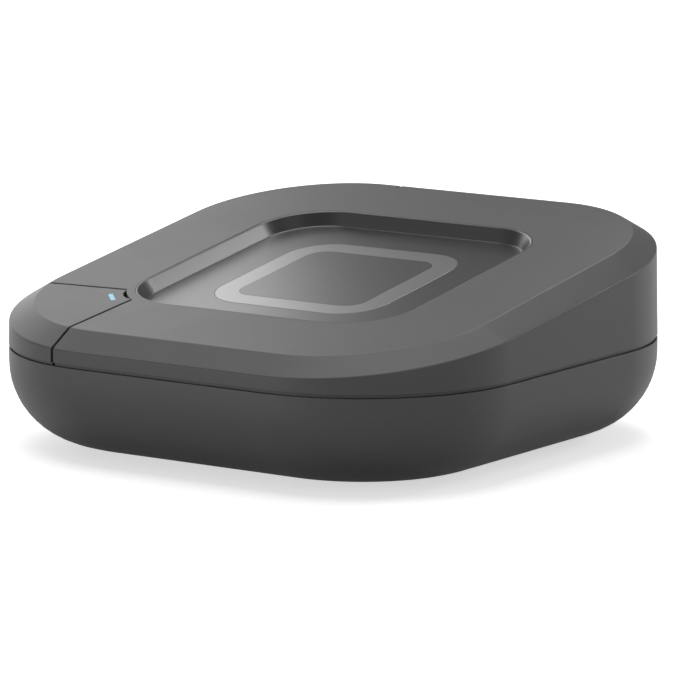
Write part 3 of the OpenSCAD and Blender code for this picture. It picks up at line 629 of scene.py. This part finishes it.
def lid_body(name, h, dish):
    """The lid with its dish opening, before the key and the sockets are cut out."""
    slope = Slope(h)
    half, wall, low = h["side"] / 2, h["wall"], h["rim"] + h["shadow_line"]
    hole, hole_r = dish["half"] + dish["fit"], dish["corner"] + dish["fit"]
    lip, lip_low = h["lip_at"], h["rim"] + h["lip_gap"]
    profiles = []
    sides, top = lid_sides(h)
    opening = rounded(hole, hole, hole_r)
    outlines = (rounded(half - t, half - t, h["corner"] - t) for t in (lip, wall))
    for side, (tx, ty), (dx, dy), (px, py), (ix, iy) in zip(sides, top, opening, *outlines):
        crest, brink, under = slope.at(tx, ty, 0), slope.at(dx, dy, 0), slope.at(dx, dy, -wall)
        profile = [Vector((px, py, lip_low)), Vector((px, py, low))] + side
        profile += eased(side[-1], crest, brink, h["crisp"], h["crisp"], EDGE_STEPS)
        profile += eased(crest, brink, under, BRINK_ROUND, BRINK_ROUND, EDGE_STEPS)
        profile.append(Vector(under))
        inner_top = slope.at(dx + (tx - dx) * INNER_REACH, dy + (ty - dy) * INNER_REACH, -wall)
        inner_low = max(low + 0.2, min(side[-1][2] - wall * 0.6, inner_top[2] - 0.3))
        profile += [Vector(inner_top), Vector((ix, iy, inner_low)), Vector((ix, iy, lip_low))]
        profiles.append(profile)
    rings = [[profile[k] for profile in profiles] for k in range(len(profiles[0]))]
    return loft(name, rings, True)


def arc(cx, cy, r, start, end, steps):
    angles = [start + (end - start) * i / steps for i in range(steps + 1)]
    return [(cx + r * math.cos(a), cy + r * math.sin(a)) for a in angles]


def key_corner(key, side, at, r, steps):
    """Corner outline from the key's two seams to an arc: `side` is 1 outside the gap and -1 inside."""
    lean = key["lean"]
    along = Vector((-math.sin(lean), -math.cos(lean)))
    across = Vector((math.cos(lean), -math.sin(lean)))
    start = Vector((-key["tip_at"], -key["tip_at"])) + across * (side * key["gap"] / 2)
    centre = Vector((-at, -at))
    away = start - centre
    reach = math.sqrt(r * r - away.length_squared + away.dot(along) ** 2) - away.dot(along)
    end = away + along * reach
    a = math.atan2(end.y, end.x) % (2 * math.pi)
    far = start + along * TALL
    tip = arc(-at, -at, r, a, 2.5 * math.pi - a, steps)
    return [(-TALL, -TALL), (far.x, far.y)] + tip + [(far.y, far.x)]


def key_hole(key):
    """Outline of the corner that the lid leaves for the key."""
    return key_corner(key, 1, key["guard_at"], key["guard"], GUARD_STEPS)


def key_outline(key):
    """Outline of the key, with the hollow at its tip."""
    return key_corner(key, -1, key["tip_at"], key["hollow"], HOLLOW_STEPS)


def slot_outline(key):
    """Outline of the light slot, which lies across the key's diagonal."""
    half_l, half_w = key["slot_length"] / 2, key["slot_width"] / 2
    turn = Matrix.Rotation(math.radians(-45), 2)
    corners = [(-half_l, -half_w), (half_l, -half_w), (half_l, half_w), (-half_l, half_w)]
    return [tuple(turn @ Vector(c) - Vector((key["slot_at"], key["slot_at"]))) for c in corners]


# ---- pieces ----

# The lower shell's openings and posts, in millimetres
BAY_SPARE = 6           # how much wider than the rear panel the rim's rear opening is, at each end
BAY_DEEP = 8.2          # how far that opening reaches in from the rear
VENTS = 7
VENT_PITCH = 5
VENT_Y = 4
VENT_HALF_WIDTH = 1.0
VENT_HALF_LENGTH = 17.0
VENT_ROUND = 0.99
FOOT_FIT = 0.1
FOOT_SUNK = 0.8
SCREW_HEAD = 2.5        # radii of the screw heads, posts, wells and bores
POST_RADIUS = 4.0
WELL_RADIUS = 3.0
BORE_RADIUS = 1.45
WELL_DEPTH = 4.8
BORE_START = 4.0


def wall_ring(h, inset, z):
    return flat_ring(h["side"] / 2 - inset, h["corner"] - inset, z)


def bowl_rings(h, inset):
    """Rings of the rounded lower edge, `inset` millimetres inside its surface, from the floor up."""
    r = h["bowl"] - inset
    rings = []
    for i in range(BOWL_STEPS + 1):
        a = math.pi / 2 * i / BOWL_STEPS
        rings.append(wall_ring(h, inset + r * (1 - math.sin(a)), FLOOR_Z + inset + r * (1 - math.cos(a))))
    return rings


class PLAYER_OT_base(bpy.types.Operator):
    """Build the bowl-like lower shell with its foot recesses, vents and screw posts"""
    bl_idname = "player.base"
    bl_label = "Lower shell"

    def execute(self, context):
        h = sizes(context.scene.player_housing)
        half, wall, rim = h["side"] / 2, h["wall"], h["rim"]
        trough, trough_in = rim - h["shadow_line"], h["lip_at"] - h["lip_gap"]
        edge = ((0.0, rim - SEAM_ROUND), (SEAM_MIDDLE, rim - SEAM_MIDDLE), (SEAM_ROUND, rim),
                (trough_in, rim), (trough_in, trough), (RIB_OUT, trough),
                (RIB_OUT, rim + RIB_TOP - RIB_CUT), (RIB_OUT + RIB_CUT, rim + RIB_TOP),
                (RIB_IN, rim + RIB_TOP), (RIB_IN, rim - RIB_FOOT), (wall, rim - RIB_FOOT - RIB_SLANT))
        rings = bowl_rings(h, 0.0) + [wall_ring(h, d, z) for d, z in edge] + bowl_rings(h, wall)[::-1]
        shell = loft("lower_shell", rings, False)
        middle = bowl_rings(h, wall / 2) + [wall_ring(h, wall / 2, rim)]
        bay_low, bay_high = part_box("rear_panel")
        cuts = [block("cut", (bay_low.x / MM - BAY_SPARE, half - BAY_DEEP, rim),
                      (bay_high.x / MM + BAY_SPARE, half + CUT_SPARE, rim + TALL))]
        for i in range(VENTS):
            vent_x = (i - (VENTS - 1) / 2) * VENT_PITCH
            slot = [(vent_x + x, VENT_Y + y)
                    for x, y in rounded(VENT_HALF_WIDTH, VENT_HALF_LENGTH, VENT_ROUND)]
            cuts.append(prism("cut", slot, FLOOR_Z - CUT_SPARE, FLOOR_Z + wall + CUT_SPARE))
        foot_low, foot_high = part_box("foot_front_right")
        foot = (foot_low + foot_high) / 2 / MM
        foot_r = (foot_high.x - foot_low.x) / 2 / MM + FOOT_FIT
        for sx, sy in ((1, 1), (1, -1), (-1, 1), (-1, -1)):
            recess = disc(sx * foot.x, sy * abs(foot.y), foot_r, RECESS_STEPS)
            cuts.append(prism("cut", recess, FLOOR_Z - CUT_SPARE, FLOOR_Z + FOOT_SUNK))
        screws_low, screws_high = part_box("case_screws")
        post_x = round(screws_high.x / MM - SCREW_HEAD, 1)
        post_ys = (round(screws_low.y / MM + SCREW_HEAD, 1), round(screws_high.y / MM - SCREW_HEAD, 1))
        posts, bores = [], []
        for x, y in [(x, y) for x in (post_x, -post_x) for y in post_ys]:
            post = prism("post", disc(x, y, POST_RADIUS), FLOOR_Z, rim)
            posts.append(joined(post, "INTERSECT", loft("inside", middle, False)))
            well = disc(x, y, WELL_RADIUS)
            bores.append(prism("cut", well, FLOOR_Z - CUT_SPARE, FLOOR_Z + WELL_DEPTH))
            bore = disc(x, y, BORE_RADIUS)
            bores.append(prism("cut", bore, FLOOR_Z + BORE_START, rim + CUT_SPARE))
        joined(shell, "UNION", *posts)
        joined(shell, "DIFFERENCE", *cuts, *bores)
        placed(smoothed(shell), finish_of("body"), HOUSING, "body_plastic", "bottom_shell")
        return {"FINISHED"}


# The lid's socket bay, in millimetres
BACKING = 1.6           # frame round the rear panel
FORM_SPARE = 0.6        # how far that frame stays inside the lid's outer form
PANEL_FIT = 0.1
PANEL_EDGE = 1.2        # how much of the panel's ends the lid covers
BAY_CEILING = 0.65      # how much of the panel's top the lid covers
BAY_HEIGHT = 14.8       # height of the opening in front of the panel
OVERLAP = 0.01          # overlap that keeps two faces from lying on each other
TICK = ((-0.6, 1.0), (0.0, -2.4), (0.6, 1.0))   # the small mark cut into the top's rear edge
TICK_SPAN = (-0.8, 1.2)                         # how far that cut reaches below and above the top
USB_FIT = 0.3
USB_HEIGHT = 6.0        # height of the side opening, up to the top of the socket's shell


class PLAYER_OT_lid(bpy.types.Operator):
    """Build the sloping lid with the key's corner, the dish opening and the socket bay cut out"""
    bl_idname = "player.lid"
    bl_label = "Lid"

    def execute(self, context):
        h = sizes(context.scene.player_housing)
        key = sizes(context.scene.player_key)
        dish = sizes(context.scene.player_dish)
        half = h["side"] / 2
        lid = lid_body("lid", h, dish)
        low, high = (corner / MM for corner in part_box("rear_panel"))
        bay_high = high.z - BAY_CEILING
        backing = block("bay", (low.x - BACKING, low.y, h["rim"] + h["shadow_line"]),
                        (high.x + BACKING, half - FORM_SPARE, high.z + BACKING))
        pocket = block("cut", (low.x - PANEL_FIT, low.y - CUT_SPARE, low.z - PANEL_FIT),
                       (high.x + PANEL_FIT, high.y, high.z + PANEL_FIT))
        bay = block("cut", (low.x + PANEL_EDGE, high.y - OVERLAP, bay_high - BAY_HEIGHT),
                    (high.x - PANEL_EDGE, half + 2 * CUT_SPARE, bay_high))
        slope = Slope(h)
        top_y = (half - h["edge_run"]) / slope.cos
        tick = [(-half / 3 + u, top_y + v) for u, v in TICK]
        notch = loft("cut", [[slope.at(u, v, w) for u, v in tick] for w in TICK_SPAN], False)
        usb_low, usb_high = (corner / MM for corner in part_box("usb_shell"))
        side_slot = block("cut", (-half - CUT_SPARE, usb_low.y - USB_FIT, usb_high.z - USB_HEIGHT),
                          (-half + h["wall"] + OVERLAP, usb_high.y + USB_FIT, usb_high.z + USB_FIT))
        joined(backing, "INTERSECT", lid_block("form", h, FORM_SPARE))
        joined(lid, "UNION", backing)
        joined(lid, "DIFFERENCE", pocket, bay, side_slot, notch,
               prism("cut", key_hole(key), 0, TALL))
        placed(smoothed(lid), finish_of("body"), HOUSING, "body_plastic", "top_shell")
        return {"FINISHED"}


# The pegs under the key, in millimetres
STEM_AT = (-40, -40)
STEM_RADIUS = 2.0
STEM_LIFT = 3.1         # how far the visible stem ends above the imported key's lowest point
PEGS = ((-50.5, -34), (-34, -50.5))
PEG_RADIUS = 1.2
PEG_FOOT = 24.9
PEG_SUNK = 1.0          # depth of the pegs' upper ends below the top


class PLAYER_OT_key(bpy.types.Operator):
    """Build the corner key, cut from the same form as the lid, and its light"""
    bl_idname = "player.key"
    bl_label = "Corner key"

    def execute(self, context):
        h = sizes(context.scene.player_housing)
        key = sizes(context.scene.player_key)
        cap = lid_body("key_cap", h, sizes(context.scene.player_dish))
        joined(cap, "INTERSECT", prism("cut", key_outline(key), 0, TALL))
        slope = Slope(h)
        stem_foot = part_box("corner_key")[0].z / MM + STEM_LIFT
        pegs = [(STEM_AT, STEM_RADIUS, stem_foot)] + [(peg, PEG_RADIUS, PEG_FOOT) for peg in PEGS]
        stems = [prism("stem", disc(x, y, r), z, slope.at(0, y - r, -PEG_SUNK)[2])
                 for (x, y), r, z in pegs]
        joined(cap, "UNION", *stems)
        joined(cap, "DIFFERENCE", prism("cut", slot_outline(key), 0, TALL))
        placed(smoothed(cap), finish_of("body"), KEY, "body_plastic", "corner_key")
        coated(finish_of("light"), "key_light_pipe")
        return {"FINISHED"}


# Cross-sections in millimetres: distance inwards from the outline, and depth
DISH_LIP = 2.0
DISH_BRINK = ((0.0, DISH_LIP), (0.0, 0.1), (0.03, 0.04), (0.1, 0.02), (0.32, 0.05), (0.5, 0.14),
              (0.64, 0.26))
RING_EDGE = ((0.0, 0.1), (0.015, 0.045), (0.045, 0.015), (0.1, 0.0))
DISH_FLOOR = 1.6        # thickness of the dish floor
RING_DEPTH = 3.2
PAD_DEPTH = 2.1


def dish_skin(name, h, d):
    """The dish with its rounded rim, sloping wall, soft crease and open middle."""
    slope = Slope(h)
    half, r, deep = d["half"], d["corner"], d["depth"]
    open_half, open_r = d["ring_half"] + d["fit"], d["ring_corner"] + d["fit"]
    crease = (d["run"], deep)
    wall_end = (d["run"] - 0.55 * d["crease"], deep - 0.5 * d["crease"])
    floor_start = (d["run"] + d["crease"], deep)
    cross = list(DISH_BRINK)
    for i in range(CREASE_STEPS + 1):
        t = i / CREASE_STEPS
        cross.append([a * (1 - t) ** 2 + 2 * t * (1 - t) * b + c * t ** 2
                      for a, b, c in zip(wall_end, crease, floor_start)])
    rings = [slope.ring(half - x, r - x, z) for x, z in cross]
    under = deep + DISH_FLOOR
    inner = [(0.06, deep), (0.02, deep + 0.02), (0.0, deep + 0.06), (0.0, under)]
    rings += [slope.ring(open_half + x, open_r + x, z) for x, z in inner]
    rings += [slope.ring(half - 1, r - 1, z) for z in (under, DISH_LIP)]
    return loft(name, rings, True)


class PLAYER_OT_dish(bpy.types.Operator):
    """Build the dish, the light ring and the centre pad"""
    bl_idname = "player.dish"
    bl_label = "Dish, ring and pad"

    def execute(self, context):
        h = sizes(context.scene.player_housing)
        d = sizes(context.scene.player_dish)
        slope = Slope(h)
        skin = smoothed(dish_skin("dish", h, d))
        placed(skin, finish_of("dish"), HOUSING, "dish_plastic", "dish_tray")
        top = d["depth"] - d["ring_proud"]
        out_half, out_r = d["ring_half"], d["ring_corner"]
        in_half, in_r = out_half - d["ring_width"], out_r - d["ring_width"]
        rings = [slope.ring(out_half, out_r, top + RING_DEPTH)]
        rings += [slope.ring(out_half - x, out_r - x, top + z) for x, z in RING_EDGE]
        rings += [slope.ring(in_half + x / 2, in_r + x / 2, top + z / 2) for x, z in RING_EDGE[::-1]]
        rings.append(slope.ring(in_half, in_r, top + RING_DEPTH))
        glow_ring = smoothed(loft("glow_ring", rings, True))
        placed(glow_ring, finish_of("ring"), HOUSING, "light_ring", "ring_light_guide")
        pad_half, pad_r = in_half - d["fit"], in_r - d["fit"]
        rings = [slope.ring(pad_half, pad_r, top + PAD_DEPTH)]
        rings += [slope.ring(pad_half - x / 2, pad_r - x / 2, top + z / 2) for x, z in RING_EDGE]
        pad = smoothed(loft("middle_pad", rings, False))
        placed(pad, finish_of("pad"), HOUSING, "pad_plastic", "centre_pad")
        return {"FINISHED"}


# The feet's domes, in millimetres: a flat of 0.5 mm radius touches the ground
DOME_RADIUS = 3.4
DOME_CENTRE = 3.363
DOME_FLAT = 0.5


class PLAYER_OT_feet(bpy.types.Operator):
    """Build the four rubber feet"""
    bl_idname = "player.feet"
    bl_label = "Feet"

    def execute(self, context):
        for node in ("foot_front_left", "foot_front_right", "foot_rear_left", "foot_rear_right"):
            low, high = (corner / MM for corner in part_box(node))
            x, y, r = (low.x + high.x) / 2, (low.y + high.y) / 2, (high.x - low.x) / 2
            edge = [(DOME_FLAT, 0.0)]
            for i in range(1, DOME_STEPS + 1):
                z = FLOOR_Z * i / DOME_STEPS
                edge.append((math.sqrt(DOME_RADIUS ** 2 - (DOME_CENTRE - z) ** 2), z))
            edge += [(r, FLOOR_Z), (r, high.z)]
            rings = [[(px, py, z) for px, py in disc(x, y, q, FOOT_STEPS)] for q, z in edge]
            piece = loft(node + "_pad", rings, False)
            placed(smoothed(piece), finish_of("rubber"), HOUSING, "foot_rubber", node)
        return {"FINISHED"}


# Contact strips on the sockets' tongues, in millimetres
HDMI_STRIPS = 10        # strips on the upper side; the lower side has one fewer, set between them
HDMI_MARGIN = 1.0
HDMI_OFFSET = 0.62
HDMI_HALF = 0.22
HDMI_PROUD = 0.09
USB_STRIPS = (2.1, 4.6)     # places of the strips, from both edges of the tongue
USB_MARGIN = 0.8
USB_HALF = 0.5
USB_PROUD = 0.1
STRIP_SUNK = 0.02
STRIP_SHORT = 0.5


class PLAYER_OT_sockets(bpy.types.Operator):
    """Build the rear panel, the sockets and their contacts"""
    bl_idname = "player.sockets"
    bl_label = "Rear panel and sockets"

    def execute(self, context):
        for node, finish, slot, width in (
                ("rear_panel", "panel", "panel_plastic", 0.15),
                ("power_jack_body", "socket", "socket_black", 0.2),
                ("optical_jack_body", "socket", "socket_black", 0.15),
                ("ethernet_insert", "socket", "socket_black", 0.12),
                ("ethernet_shield", "shield", "shield_steel", 0.12),
                ("reset_switch_body", "socket", "socket_black", 0.15)):
            piece = softened(copied(node + "_shape", node), width)
            placed(smoothed(piece), finish_of(finish), HOUSING, slot, node)
        for node, body, finish, slot, width in (
                ("optical_shutter", "optical_shutter", "socket", "socket_black", 0.1),
                ("reset_switch_plunger", "reset_plunger", "cap", "reset_cap", 0.25)):
            piece = softened(copied(node + "_shape", node), width)
            placed(smoothed(piece), finish_of(finish), body, slot, node)
        coated(finish_of("shield"), "hdmi_shell", "usb_shell")
        coated(finish_of("socket"), "hdmi_tongue", "usb_tongue", "key_switch_plunger")
        coated(finish_of("pin"), "power_jack_pin")
        coated(finish_of("gold"), "ethernet_contacts")
        low, high = (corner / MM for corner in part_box("hdmi_tongue"))
        strips = []
        for i in range(HDMI_STRIPS):
            x = low.x + HDMI_MARGIN + i * (high.x - low.x - 2 * HDMI_MARGIN) / (HDMI_STRIPS - 1)
            strips.append(block("strip", (x - HDMI_HALF, low.y, high.z - STRIP_SUNK),
                                (x + HDMI_HALF, high.y - STRIP_SHORT, high.z + HDMI_PROUD)))
            if i < HDMI_STRIPS - 1:
                x += HDMI_OFFSET
                strips.append(block("strip", (x - HDMI_HALF, low.y, low.z - HDMI_PROUD),
                                    (x + HDMI_HALF, high.y - STRIP_SHORT, low.z + STRIP_SUNK)))
        placed(one("hdmi_strips", strips), finish_of("gold"), HOUSING, "gold_contacts")
        low, high = (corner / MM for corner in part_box("usb_tongue"))
        places = [low.y + at for at in USB_STRIPS] + [high.y - at for at in USB_STRIPS[::-1]]
        strips = [block("strip", (low.x + USB_MARGIN, y - USB_HALF, low.z - USB_PROUD),
                        (high.x, y + USB_HALF, low.z + STRIP_SUNK)) for y in places]
        placed(one("usb_strips", strips), finish_of("gold"), HOUSING, "gold_contacts")
        return {"FINISHED"}


def one(name, parts):
    """Joins separate solids into one piece."""
    edit = bmesh.new()
    for part in parts:
        edit.from_mesh(part.data)
        bpy.data.objects.remove(part)
    mesh = bpy.data.meshes.new(name)
    edit.to_mesh(mesh)
    edit.free()
    piece = bpy.data.objects.new(name, mesh)
    bpy.context.scene.collection.objects.link(piece)
    return piece


class PLAYER_OT_inside(bpy.types.Operator):
    """Give the screws, boards, chips, shields, antennas and leads their finishes"""
    bl_idname = "player.inside"
    bl_label = "Inner parts"

    def execute(self, context):
        coated(finish_of("screw"), "case_screws", "board_screws", "heatsink_screws", "ring_board_screws")
        coated(finish_of("board"), "main_board", "ring_board", "wifi_board")
        coated(finish_of("chip"), "soc_chip", "memory_chips", "storage_chip", "power_inductors")
        coated(finish_of("gel"), "thermal_pad")
        coated(finish_of("fins"), "heatsink")
        coated(finish_of("shield"), "memory_shield", "wifi_can", "crystal", "key_switch_body")
        coated(finish_of("foil"), "antenna_left", "antenna_right")
        coated(finish_of("sleeve"), "antenna_lead_left", "antenna_lead_right")
        coated(finish_of("diode"), "ring_leds", "status_led")
        coated(finish_of("film"), "ribbon_cable", "ribbon_sockets")
        coated(finish_of("can"), "bulk_capacitors")
        return {"FINISHED"}


# ---- stage ----

# Lamps: name, place, aim, width and height in metres, and power in watts
LAMPS = (
    ("overhead", (-0.1, 0.0, 1.3), (0, 0, 0), 1.2, 1.2, 9.0),
    ("left panel", (-0.49, 0.193, 0.22), (-0.206, -0.165, 0.03), 0.5, 0.42, 0.98),
    ("rear panel", (0.32, 0.435, 0.25), (-0.034, 0, 0.036), 0.16, 0.17, 0.56),
    ("dish glint", (0.0, 0.13, 0.19), (-0.033, 0, 0.034), 0.06, 0.09, 0.07),
    ("front right", (1.3, -0.5, 0.5), (0, 0, 0.02), 0.8, 0.6, 1.8),
    ("low front", (-0.6, -1.2, 0.2), (0, 0, 0.02), 0.8, 0.3, 3.0),
)
SKY_LIGHT = 0.18
FLOOR_HALF = 9000
TARGET = (0, 0, 0.02175)    # the middle of the player, in metres


def lamp(name, place, target, width, height, power):
    light = bpy.data.lights.new(name, "AREA")
    light.shape = "RECTANGLE"
    light.size = width
    light.size_y = height
    light.energy = power
    made = bpy.data.objects.new(name, light)
    bpy.context.scene.collection.objects.link(made)
    made.location = place
    made.rotation_euler = (Vector(target) - Vector(place)).to_track_quat("-Z", "Y").to_euler()
    made.visible_camera = False


def floor_finish():
    """Pale floor that keeps its shadows and shows white to the camera and in reflections far from the
    player; nearer the player its glow is weaker, a painted shade round the player that is deepest in
    reflections.
    """
    paint = Paint("pale floor")
    rays = paint.tree.nodes.new("ShaderNodeLightPath")
    looked = Wire(paint, rays.outputs["Is Camera Ray"])
    mirrored = Wire(paint, rays.outputs["Is Glossy Ray"]) + Wire(paint, rays.outputs["Is Transmission Ray"])
    mottle = paint.noise(300.0, 2.0)
    plain = paint.blend(mottle, (0.2, 0.2, 0.2, 1.0), (0.22, 0.22, 0.22, 1.0))
    # Painted shade: the floor's glow grows from 0.1 m to 0.7 m from the middle, so the floor shows darker
    # round the player, a little to the camera and much more in reflections.
    away = paint.node("ShaderNodeVectorMath", {"operation": "LENGTH"}, {0: paint.point()}, out=1)
    painted_shade_fade = paint.node("ShaderNodeMapRange", {"interpolation_type": "SMOOTHSTEP"},
                      {0: away, 1: 0.1, 2: 0.7})
    glow = looked * (painted_shade_fade * 0.25 + 0.61) + mirrored * (painted_shade_fade * 0.75 + 0.1)
    return paint.finish({
        "Base Color": paint.blend(looked + mirrored, plain, (0.88, 0.88, 0.88, 1.0)),
        "Roughness": 1.0,
        "Specular IOR Level": 0.0,
        "Emission Color": paint.blend(glow, (0.0, 0.0, 0.0, 1.0), (1.0, 1.0, 1.0, 1.0)),
        "Emission Strength": 1.0,
    })


class PLAYER_OT_stage(bpy.types.Operator):
    """Set up the floor, the soft studio lamps and the camera"""
    bl_idname = "player.stage"
    bl_label = "Stage"

    def execute(self, context):
        scene = context.scene
        view = scene.player_studio
        scene.view_settings.view_transform = "Standard"
        corners = [(sx * FLOOR_HALF, sy * FLOOR_HALF, 0) for sx, sy in ((-1, -1), (1, -1), (1, 1), (-1, 1))]
        floor = make("floor", corners, [(0, 1, 2, 3)])
        floor.data.materials.append(floor_finish())
        world = bpy.data.worlds.new("studio")
        scene.world = world
        world.use_nodes = True
        sky = world.node_tree.nodes["Background"]
        sky.inputs["Color"].default_value = (1.0, 1.0, 1.0, 1.0)
        sky.inputs["Strength"].default_value = SKY_LIGHT
        for settings in LAMPS:
            lamp(*settings)
        a, e = view.azimuth, view.elevation
        back = Vector((math.sin(a) * math.cos(e), -math.cos(a) * math.cos(e), math.sin(e)))
        right = Vector((math.cos(a), math.sin(a), 0))
        up = back.cross(right)
        target = Vector(TARGET) + right * view.aside - up * view.below
        camera = bpy.data.objects.new("camera", bpy.data.cameras.new("camera"))
        scene.collection.objects.link(camera)
        camera.data.sensor_width = 36
        camera.data.lens = view.lens / MM
        camera.data.clip_start = 0.01
        camera.data.clip_end = 100
        camera.location = target + back * view.distance
        camera.rotation_euler = Matrix((right, up, back)).transposed().to_euler()
        scene.camera = camera
        return {"FINISHED"}


class PLAYER_PT_panel(bpy.types.Panel):
    """Sizes, finishes and steps of the streaming player"""
    bl_idname = "PLAYER_PT_panel"
    bl_label = "Streaming player"
    bl_space_type = "VIEW_3D"
    bl_region_type = "UI"
    bl_category = "Player"

    def draw(self, context):
        for operator in OPERATORS:
            self.layout.operator(operator.bl_idname, text=operator.bl_label)
        for group in GROUPS:
            box = self.layout.box()
            values = getattr(context.scene, group)
            for name in values.bl_rna.properties.keys():
                if name not in ("rna_type", "name"):
                    box.prop(values, name)


OPERATORS = (PLAYER_OT_stage, PLAYER_OT_base, PLAYER_OT_lid, PLAYER_OT_key, PLAYER_OT_dish, PLAYER_OT_feet,
             PLAYER_OT_sockets, PLAYER_OT_inside)
GROUPS = {
    "player_housing": HousingSizes,
    "player_dish": DishSizes,
    "player_key": KeySizes,
    "player_finishes": Finishes,
    "player_studio": StudioSettings,
}


def register():
    for group, kind in GROUPS.items():
        bpy.utils.register_class(kind)
        setattr(bpy.types.Scene, group, PointerProperty(type=kind))
    for operator in OPERATORS:
        bpy.utils.register_class(operator)
    bpy.utils.register_class(PLAYER_PT_panel)


def unregister():
    bpy.utils.unregister_class(PLAYER_PT_panel)
    for operator in reversed(OPERATORS):
        bpy.utils.unregister_class(operator)
    for group, kind in GROUPS.items():
        delattr(bpy.types.Scene, group)
        bpy.utils.unregister_class(kind)


def main():
    register()
    for operator in OPERATORS:
        family, step = operator.bl_idname.split(".")
        getattr(getattr(bpy.ops, family), step)()


if __name__ == "__main__":
    main()
